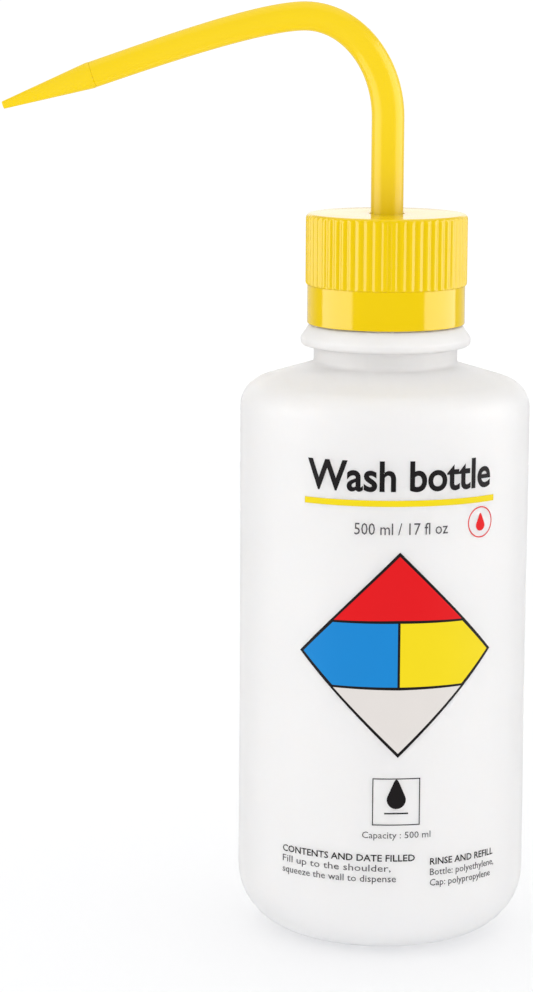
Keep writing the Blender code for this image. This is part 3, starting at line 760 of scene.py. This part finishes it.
def makeCap():
    low, high = nodeBox("screw_cap")
    bottom, top, crest = low.z, high.z, high.x
    band = top - cap["bandHeight"]
    under = top - cap["topWall"]
    edge = cap["edgeRound"]
    footRows = cap["ribRows"]
    rows = [band + cap["ribRound"] * (k / footRows) ** 1.4 for k in range(1, footRows + 1)]
    rows += [band + (cap["bandHeight"] - edge) * k / 4 + 0.4 for k in range(1, 4)]
    rows += [top - edge + edge * math.sin(math.radians(a)) for a in range(0, 90, 10)]
    rim = []
    for z in rows:
        over = max(0.0, z - top + edge)
        rim.append((crest - edge + math.sqrt(edge * edge - over * over), z, 0.0))
    start = threadStart - cap["threadUnder"]
    outline = [
        (cap["bore"], bottom + cap["leadIn"], 0.0),
        (cap["bore"] + 0.5, bottom, 0.25),
        (cap["skirt"], bottom, 0.35),
        (cap["skirt"], band, 0.12),
        (crest - 0.02, band, 0.0),
        *rim,
        (crest - edge, top, 0.0),
        (cap["hole"], top, 0.3),
        (cap["hole"], under, 0.2),
        (cap["bore"], under, 0.5),
        *((cap["bore"], z, 0.0) for z in reversed(threadLevels(start))),
    ]
    bm = bmesh.new()
    turnOutline(bm, roundedOutline(outline), cap["ribs"] * cap["pointsPerRib"], closed=True)
    # ribs: the band's surface falls back between the crests, and each rib ends in a round foot
    for vert in bm.verts:
        r = math.hypot(vert.co.x, vert.co.y) / mm
        z = vert.co.z / mm
        underBand = z < band - 0.001
        insideWall = r < cap["skirt"] + 0.15 and z < top - edge
        farIn = r < cap["skirt"] - 2.5
        if underBand or insideWall or farIn:
            continue
        phase = math.atan2(vert.co.y, vert.co.x) * cap["ribs"] / (2 * math.pi)
        offCrest = 2 * abs(phase - round(phase))
        rise = 0.5 + 0.5 * math.cos(math.pi * offCrest ** cap["ribShape"])
        foot = min(1.0, (z - band) / cap["ribRound"])
        rise *= math.sqrt(max(0.0, 1 - (1 - foot) ** 2))
        surface = crest - cap["ribDepth"] * (1 - rise)
        if surface < r:
            vert.co.x *= surface / r
            vert.co.y *= surface / r
    pushThread(bm, cap["bore"], start, cap, -1)
    bmesh.ops.recalc_face_normals(bm, faces=bm.faces)
    cutVent(bm, top, under)
    finishPiece(bm, "cap_shell", yellowPlastic, "cap", ["screw_cap"], 50.0)


makeCap()
print("cap made")


spout = {
    "legRadius": 4.25,
    "apexRadius": 3.75,
    "endRadius": 3.42,
    "wall": 1.1,
    "bendStart": 24.6,
    "apex": 50.7,
    "apexReach": 21.6,
    "armReach": 76.5,
    "armDrop": 15.3,
    "armSlope": 19.0,
    "bendEase": 0.55,  # how long the curve stays upright, then level
    "apexEase": 0.22,
    "armEase": 0.27,
    "pathPoints": 28,
    "flangeRadius": 6.9,
    "flangeThickness": 1.0,
    "flangeGap": 0.6,
    "flangeEdge": 0.15,
    "footEdge": 0.25,
    "fillet": 0.2,
    "endEdge": 0.1,
    "sides": 64,
}


def taperedRun(knots, fromRadius, toRadius):
    # points along one curve, each with a radius that changes smoothly
    points = interpolate_bezier(*knots, spout["pathPoints"])
    run = []
    for k, point in enumerate(points):
        radius = fromRadius + (toRadius - fromRadius) * eased(k / (len(points) - 1))
        run.append((point, radius))
    return run


def spoutPath():
    # centre line, as (point, radius), from the foot under the hub to the end of the arm
    capTop = nodeBox("screw_cap")[1].z
    foot = Vector((0, 0, nodeBox("spout_tube")[0].z))
    start = Vector((0, 0, capTop + spout["bendStart"]))
    apex = Vector((-spout["apexReach"], 0, capTop + spout["apex"]))
    end = Vector((-spout["armReach"], 0, apex.z - spout["armDrop"]))
    arm = spout["armReach"] - spout["apexReach"]
    slope = math.radians(spout["armSlope"])
    back = Vector((math.cos(slope), 0, math.sin(slope))) * arm * spout["armEase"]
    rise = Vector((0, 0, spout["bendEase"] * (apex.z - start.z)))
    level = Vector((spout["bendEase"] * spout["apexReach"], 0, 0))
    ahead = Vector((spout["apexEase"] * arm, 0, 0))
    leg, crown, last = spout["legRadius"], spout["apexRadius"], spout["endRadius"]
    bend = taperedRun((start, start + rise, apex + level, apex), leg, crown)
    run = taperedRun((apex, apex - ahead, end + back, end), crown, last)
    return [(foot, leg)] + bend + run[1:]


def makeSpout():
    path = spoutPath()
    up = Vector((0, 0, 1))
    leg = spout["legRadius"]
    flange, edge, fillet = spout["flangeRadius"], spout["flangeEdge"], spout["fillet"]
    flangeTop = up * (nodeBox("screw_cap")[1].z - cap["topWall"] - spout["flangeGap"])
    flangeFoot = flangeTop - up * spout["flangeThickness"]
    foot = path[0][0]
    footEdge = spout["footEdge"]
    outer = [
        (foot, up, leg - footEdge),
        (foot + up * footEdge * 0.32, up, leg - footEdge * 0.32),
        (foot + up * footEdge, up, leg),
        (flangeFoot, up, leg),
        (flangeFoot, up, flange - edge),
        (flangeFoot + up * edge, up, flange),
        (flangeTop - up * edge, up, flange),
        (flangeTop, up, flange - edge),
        (flangeTop, up, leg + fillet),
        (flangeTop + up * fillet, up, leg),
    ]
    centers = [point for point, radius in path]
    directions = [up]
    for k in range(1, len(centers)):
        ahead = centers[min(k + 1, len(centers) - 1)] - centers[k]
        behind = centers[k] - centers[k - 1]
        directions.append((ahead.normalized() + behind.normalized()).normalized())
    directions[1] = up
    bendStations = [(p, d, r) for (p, r), d in zip(path[1:], directions[1:])]
    outer += bendStations[:-1]
    endWay = directions[-1]
    end, endRadius = path[-1]
    outer.append((end - endWay * spout["endEdge"], endWay, endRadius))
    outer.append((end, endWay, endRadius - spout["endEdge"]))
    wall = spout["wall"]
    inner = [(end, endWay, endRadius - wall)]
    inner += [(p, d, r - wall) for p, d, r in reversed(bendStations[:-1])]
    inner.append((foot, up, leg - wall))
    bm = bmesh.new()
    rings = sweepRings(bm, outer + inner, spout["sides"])
    bmesh.ops.bridge_loops(bm, edges=rings[0] + rings[-1])
    finishPiece(bm, "spout_bend", spoutPlastic, "spout", ["spout_tube"], 40.0)


makeSpout()
print("spout made")


tip = {
    "length": 24.6,
    "base": 3.46,
    "end": 1.0,
    "orifice": 0.5,
    "landLength": 3.0,
    "collar": 0.9,
    "spigot": 6.0,
    "spigotRadius": 2.02,
    "spigotWall": 0.9,
    "gap": 0.01,
    "steps": 64,
}


def makeTip():
    length, gap, spigot = tip["length"], tip["gap"], tip["spigotRadius"]
    outline = [
        (tip["orifice"], length - tip["landLength"], 0.0),
        (tip["orifice"], length, 0.15),
        (tip["end"], length, 0.3),
        (tip["base"], gap + tip["collar"], 1.5),
        (tip["base"], gap, 0.18),
        (spigot, gap, 0.0),
        (spigot, -tip["spigot"], 0.2),
        (spigot - tip["spigotWall"], -tip["spigot"], 0.2),
        (spigot - tip["spigotWall"], gap, 0.0),
    ]
    bm = bmesh.new()
    turnOutline(bm, roundedOutline(outline), tip["steps"], closed=True)
    end = spoutPath()[-1][0] * mm
    turned = Matrix.Rotation(-math.radians(90 + spout["armSlope"]), 4, "Y")
    bmesh.ops.transform(bm, matrix=Matrix.Translation(end) @ turned, verts=bm.verts)
    finishPiece(bm, "spout_nozzle", spoutPlastic, "spout", ["spout_tip"], 40.0)


makeTip()


dipTube = {
    "wall": 0.9,
    "cut": 35.0,  # slant of its lower end
    "spare": 2.0,  # length that the slanted cut takes off
    "steps": 48,
}


def makeDipTube():
    low, high = nodeBox("dip_tube")
    radius = high.x
    bore = radius - dipTube["wall"]
    end = low.z - dipTube["spare"]
    bm = bmesh.new()
    wall = [(radius, high.z), (radius, end), (bore, end), (bore, high.z)]
    turnOutline(bm, wall, dipTube["steps"], closed=True)
    slant = math.radians(dipTube["cut"])
    cut = bmesh.ops.bisect_plane(
        bm,
        geom=bm.verts[:] + bm.edges[:] + bm.faces[:],
        plane_co=Vector((-radius, 0, low.z)) * mm,
        plane_no=(-math.sin(slant), 0, math.cos(slant)),
        clear_inner=True,
    )
    loops = [g for g in cut["geom_cut"] if isinstance(g, bmesh.types.BMEdge)]
    bmesh.ops.bridge_loops(bm, edges=loops)
    finishPiece(bm, "dip_straw", tubePlastic, "spout", ["dip_tube"])


makeDipTube()
print("tip and dip tube made")

innerFinishes = {
    "closure_insert": insertPlastic,
    "vent_ball_cage": insertPlastic,
    "rim_gasket": gasketFoam,
    "spout_o_ring": sealRubber,
    "vent_ball": ballGlass,
}
for node, material in innerFinishes.items():
    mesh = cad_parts[node].data
    mesh.materials.clear()
    mesh.materials.append(material)
print("inner pieces finished")


# The camera's place is in millimetres, as the pieces are; the room is in metres.
stageLook = {
    "cameraAt": (-30.945, -863.834, 259.905),
    "tilt": 9.482,
    "roll": 0.314,
    "lens": 120.45,
    "floorRadius": 0.8,
    "floorColor": (0.515, 0.507, 0.497),
    "floorGlow": (0.325, 0.337, 0.357),
    "floorLift": 1.6,  # extra glow that lights the bottle but doesn't show
    "seen": 1.05,  # brightness of the room behind the bottle
    "even": 1.34,  # brightness of the soft light all round
    "front": 0.02,  # what a gloss mirrors in front of the bottle
    "behind": 0.65,  # and behind it
    "boxDistance": 1.2,
    "boxGlow": 2.7,
    "boxBottom": -0.7,
    "boxTop": 1.1,
    "leftBox": (52.0, 108.0),  # the angles it fills, from the front
    "rightBox": (56.0, 119.0),
    "topGlow": 0.7,
    "backGlow": 0.6,
}


def makeCamera():
    data = bpy.data.cameras.new("studioCamera")
    data.lens = stageLook["lens"]
    data.clip_end = 100.0
    camera = bpy.data.objects.new("studioCamera", data)
    bpy.context.scene.collection.objects.link(camera)
    tilted = Matrix.Rotation(math.radians(90 - stageLook["tilt"]), 4, "X")
    rolled = Matrix.Rotation(math.radians(stageLook["roll"]), 4, "Z")
    camera.matrix_world = Matrix.Translation(Vector(stageLook["cameraAt"]) * mm) @ tilted @ rolled
    bpy.context.scene.camera = camera


def addSoftbox(name, place, target, size, glow):
    # glow is the brightness of the box's face, whatever its size
    data = bpy.data.lights.new(name, "AREA")
    data.shape = "RECTANGLE"
    data.size, data.size_y = size
    data.energy = glow * math.pi * size[0] * size[1]
    light = bpy.data.objects.new(name, data)
    bpy.context.scene.collection.objects.link(light)
    light.location = place
    aim = Vector(target) - Vector(place)
    light.rotation_euler = aim.to_track_quat("-Z", "Y").to_euler()
    light.visible_camera = False
    light.visible_diffuse = False
    light.visible_transmission = False


def addSideBox(name, side, fromAngle, toAngle):
    # a tall box that fills these angles round the object, measured from the front
    middle = math.radians((fromAngle + toAngle) / 2)
    half = math.radians((toAngle - fromAngle) / 2)
    away = stageLook["boxDistance"]
    low, high = stageLook["boxBottom"], stageLook["boxTop"]
    level = (low + high) / 2
    place = (side * away * math.sin(middle), -away * math.cos(middle), level)
    size = (2 * away * math.tan(half), high - low)
    addSoftbox(name, place, (0, 0, level), size, stageLook["boxGlow"])


def makeWorld():
    # a white tent: even as soft light, but dark in front where a gloss mirrors it
    world = bpy.data.worlds.new("studioWorld")
    bpy.context.scene.world = world
    world.use_nodes = True
    tree = world.node_tree
    links = tree.links
    sky = tree.nodes["Background"]
    sky.inputs["Color"].default_value = (1.0, 1.0, 1.0, 1.0)
    coords = addNode(tree, "ShaderNodeTexCoord")
    parts = addNode(tree, "ShaderNodeSeparateXYZ")
    links.new(coords.outputs["Generated"], parts.inputs["Vector"])
    dim = addNode(tree, "ShaderNodeMapRange", interpolation_type="SMOOTHSTEP")
    dim.inputs["From Min"].default_value = 0.35
    dim.inputs["From Max"].default_value = 0.95
    dim.inputs["To Min"].default_value = stageLook["front"]
    dim.inputs["To Max"].default_value = stageLook["behind"]
    links.new(parts.outputs["Y"], dim.inputs["Value"])
    path = addNode(tree, "ShaderNodeLightPath")
    mirrored = addNode(tree, "ShaderNodeMath", operation="SUBTRACT", use_clamp=True)
    links.new(path.outputs["Is Glossy Ray"], mirrored.inputs[0])
    links.new(path.outputs["Is Transmission Ray"], mirrored.inputs[1])
    soft = addNode(tree, "ShaderNodeMix", data_type="FLOAT")
    soft.inputs["A"].default_value = stageLook["even"]
    links.new(mirrored.outputs["Value"], soft.inputs["Factor"])
    links.new(dim.outputs["Result"], soft.inputs["B"])
    seen = addNode(tree, "ShaderNodeMix", data_type="FLOAT")
    seen.inputs["B"].default_value = stageLook["seen"]
    links.new(path.outputs["Is Camera Ray"], seen.inputs["Factor"])
    links.new(soft.outputs["Result"], seen.inputs["A"])
    links.new(seen.outputs["Result"], sky.inputs["Strength"])


def makeFloor():
    bm = bmesh.new()
    bmesh.ops.create_circle(bm, cap_ends=True, segments=96, radius=stageLook["floorRadius"])
    mesh = bpy.data.meshes.new("studio_floor")
    bm.to_mesh(mesh)
    bm.free()
    material = bpy.data.materials.new("paleFloor")
    material.use_nodes = True
    shader = material.node_tree.nodes["Principled BSDF"]
    shader.inputs["Base Color"].default_value = (*stageLook["floorColor"], 1.0)
    shader.inputs["Roughness"].default_value = 0.7
    shader.inputs["Specular IOR Level"].default_value = 0.1
    shader.inputs["Emission Color"].default_value = (*stageLook["floorGlow"], 1.0)
    # the floor lights the bottle more than it shows, as a lit table does
    tree = material.node_tree
    path = addNode(tree, "ShaderNodeLightPath")
    lift = addNode(tree, "ShaderNodeMapRange")
    lift.inputs["To Min"].default_value = 1.0 + stageLook["floorLift"]
    lift.inputs["To Max"].default_value = 1.0
    tree.links.new(path.outputs["Is Camera Ray"], lift.inputs["Value"])
    tree.links.new(lift.outputs["Result"], shader.inputs["Emission Strength"])
    mesh.materials.append(material)
    floor = bpy.data.objects.new("studio_floor", mesh)
    bpy.context.scene.collection.objects.link(floor)
    floor.visible_glossy = False


def makeLights():
    addSideBox("leftBox", -1, *stageLook["leftBox"])
    addSideBox("rightBox", 1, *stageLook["rightBox"])
    addSoftbox("topBox", (0, 0.2, 1.3), (0, 0, 0.1), (1.4, 1.4), stageLook["topGlow"])
    addSoftbox("backBox", (0, 1.2, 0.43), (0, 0, 0.19), (1.4, 0.42), stageLook["backGlow"])


makeWorld()
makeCamera()
makeFloor()
makeLights()
bpy.context.scene.view_settings.view_transform = "Standard"
print("stage set")
